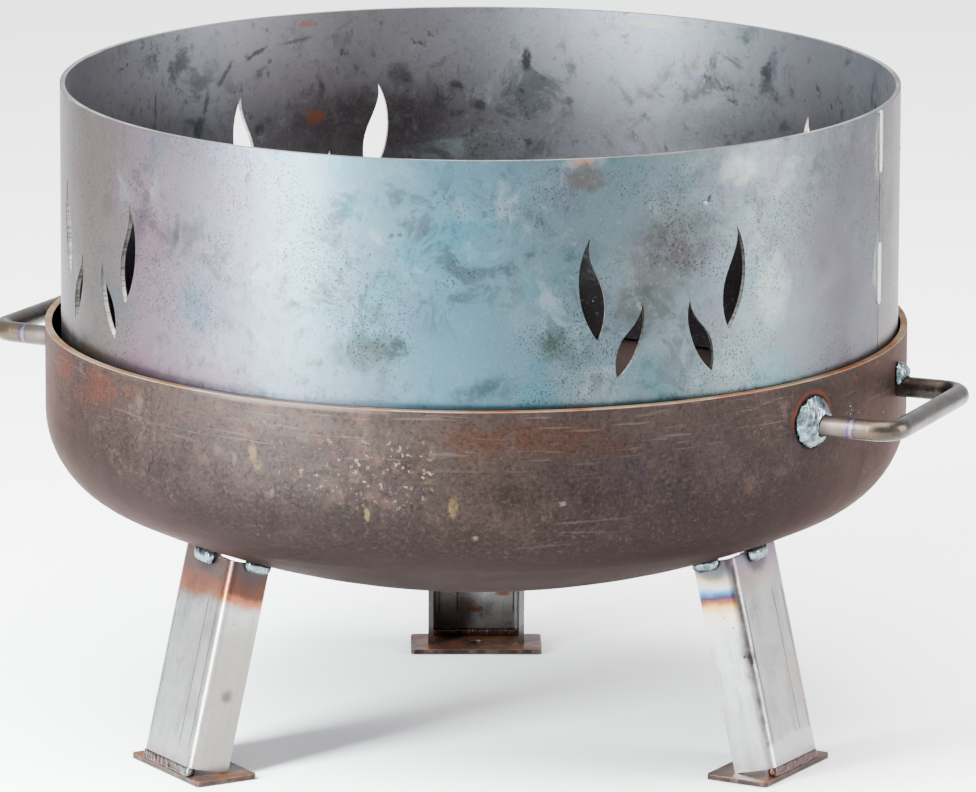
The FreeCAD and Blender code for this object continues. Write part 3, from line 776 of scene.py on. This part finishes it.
def weld_mesh(name, grain, ripple, pitch, material):
    """The CAD bead rebuilt as a rippled, slightly uneven skin of weld metal."""
    source = nodes[name]
    rough = bpy.data.objects.new("rough", source.data.copy())
    bpy.context.collection.objects.link(rough)
    remesh = rough.modifiers.new("skin", "REMESH")
    remesh.mode = "VOXEL"
    remesh.voxel_size = grain
    smooth = rough.modifiers.new("smooth", "SMOOTH")
    smooth.iterations = 4
    graph = bpy.context.evaluated_depsgraph_get()
    mesh = bpy.data.meshes.new_from_object(rough.evaluated_get(graph))
    bpy.data.objects.remove(rough)
    low = Vector([min(v.co[i] for v in mesh.vertices) for i in range(3)])
    high = Vector([max(v.co[i] for v in mesh.vertices) for i in range(3)])
    middle = (low + high) / 2
    start = middle + Vector((0.6 * (high.x - low.x), 0.6 * (high.y - low.y), -0.2 * (high.z - low.z)))
    moves = []
    for v in mesh.vertices:
        lumps = noise.noise(v.co * 260) * 1.3 + noise.noise(v.co * 620) * 0.5
        rings = math.sin(2 * math.pi * ((v.co - start).length + 0.0006 * noise.noise(v.co * 300)) / pitch)
        moves.append(v.normal * (ripple * (lumps + 0.5 * rings)))
    for v, move in zip(mesh.vertices, moves):
        v.co += move
    keep(mesh, "skin_" + name, "fire_bowl", material, (name,))


for name in nodes:
    if name.startswith("handle_weld"):
        weld_mesh(name, 0.0008, 0.00040, 0.0026, materials["weld_metal"])
    elif name.startswith("leg_weld"):
        weld_mesh(name, 0.0006, 0.00028, 0.0018, materials["weld_metal"])
    elif name.startswith("foot_weld"):
        weld_mesh(name, 0.0007, 0.00022, 0.0022, foot_weld_metal)


def droplets(name, body, places):
    """Weld spatter: small flattened beads, each (point, outward direction, radius)."""
    mesh = bmesh.new()
    for point, away, radius in places:
        fresh = bmesh.ops.create_icosphere(mesh, subdivisions=2, radius=radius)["verts"]
        stand = away.to_track_quat("Z", "Y").to_matrix()
        for v in fresh:
            uneven = 1 + 0.25 * noise.noise(v.co * 900 + point * 300)
            shape = Vector((v.co.x * uneven, v.co.y * uneven * 0.9, v.co.z * 0.6))
            v.co = point + away * (radius * 0.25) + stand @ shape
    data = bpy.data.meshes.new(name)
    mesh.to_mesh(data)
    mesh.free()
    keep(data, name, body, materials["weld_metal"])


def scattered(count, seed, centre, radius, azimuths, heights, sizes):
    """Random places on an upright round wall."""
    dice = Random(seed)
    out = []
    for _ in range(count):
        a = math.radians(dice.triangular(*azimuths))
        away = Vector((math.cos(a), math.sin(a), 0))
        point = Vector((*centre, 0)) + away * radius + Vector((0, 0, dice.uniform(*heights)))
        out.append((point, away, dice.triangular(sizes[0], sizes[1], sizes[0])))
    return out


def on_leg(place, spots):
    """Beads on a leg's folds and flanges, from places in its own frame."""
    out = []
    for x, y, z, radius in spots:
        point = leg_point(place, x, y, z)
        out.append((point, (leg_point(place, x, 2 * y, z) - point).normalized(), radius))
    return out


droplets("spatter_ring", "ring",
         scattered(18, 5, RING_CENTRE, RING_OUT, (-25, 32, RING_TURN), (0.262, 0.380), (0.0002, 0.0007))
         + scattered(4, 9, RING_CENTRE, RING_OUT, (255, 350, 330), (0.26, 0.38), (0.0002, 0.0005))
         + scattered(1, 2, RING_CENTRE, RING_OUT, (328.3, 328.5, 328.4), (0.355, 0.355), (0.0015, 0.0016)))
droplets("spatter_bowl", "fire_bowl",
         scattered(16, 7, (0, 0), BOWL_OUT, (-32, 26, -12), (0.204, 0.240), (0.0002, 0.0007))
         + on_leg("right", [(-0.004, -0.0288, 0.066, 0.0010), (-0.007, -0.029, 0.084, 0.0006),
                            (-0.012, -0.029, 0.090, 0.0005), (-0.010, 0.029, 0.088, 0.0006)])
         + on_leg("front", [(-0.009, 0.029, 0.086, 0.0007), (-0.014, 0.029, 0.078, 0.0005),
                            (-0.006, -0.029, 0.090, 0.0006)])
         + on_leg("back", [(-0.008, 0.029, 0.088, 0.0006), (-0.013, -0.029, 0.085, 0.0007)]))


# ---------------------------------------------------------------- studio
CAMERA_TURN = 27.4        # the camera stands this far round from -Y


def floor():
    mesh = bpy.data.meshes.new("studio_floor")
    half, low = 14, -0.0004
    corners = [(x * half, y * half, low) for x, y in ((-1, -1), (1, -1), (1, 1), (-1, 1))]
    mesh.from_pydata(corners, [], [(0, 1, 2, 3)])
    obj = bpy.data.objects.new("studio_floor", mesh)
    bpy.context.collection.objects.link(obj)
    g = Graph("studio_floor")
    tone = g.ramp(g.noise(0.7, 2, 0.5), [(0.3, (0.90, 0.90, 0.90, 1)), (0.7, (0.93, 0.93, 0.93, 1))])
    mesh.materials.append(g.finish(tone, 0.9, 0.0))


def softbox(name, azimuth, distance, height, size, power, aim=(0, 0, 0.2), tint=(1, 1, 1)):
    """Area light at an azimuth counted from the camera's own direction, + to the right."""
    a = math.radians(CAMERA_TURN + azimuth)
    light = bpy.data.lights.new(name, "AREA")
    light.shape = "RECTANGLE"
    light.size, light.size_y = size
    light.energy = power
    light.color = tint
    obj = bpy.data.objects.new(name, light)
    obj.location = (distance * math.sin(a), -distance * math.cos(a), height)
    obj.rotation_euler = (Vector(aim) - obj.location).to_track_quat("-Z", "Y").to_euler()
    obj.visible_camera = False
    bpy.context.collection.objects.link(obj)


def camera():
    cam = bpy.data.cameras.new("camera")
    cam.sensor_width = 36.0
    cam.lens = 334.25
    cam.clip_end = 100
    obj = bpy.data.objects.new("camera", cam)
    stand = Matrix.Translation((0.0070, -5.1404, 1.3447))
    place = Matrix.Rotation(math.radians(CAMERA_TURN), 4, "Z") @ stand
    tilt = Matrix.Rotation(math.radians(90 - 12.57), 4, "X") @ Matrix.Rotation(math.radians(0.195), 4, "Z")
    obj.matrix_world = place @ tilt
    bpy.context.collection.objects.link(obj)
    bpy.context.scene.camera = obj


def world(strength):
    w = bpy.data.worlds.new("studio")
    w.use_nodes = True
    w.node_tree.nodes["Background"].inputs[0].default_value = (0.93, 0.95, 1.0, 1)
    w.node_tree.nodes["Background"].inputs[1].default_value = strength
    bpy.context.scene.world = w


floor()
camera()
world(1.7)
softbox("key_left", -48, 1.22, 0.77, (0.36, 1.36), 220, aim=(0, 0, 0.25), tint=(0.90, 0.98, 1.0))
softbox("fill_right", 78, 2.2, 0.75, (0.9, 1.5), 115)
softbox("top", 0, 0.4, 2.6, (2.4, 2.4), 330)
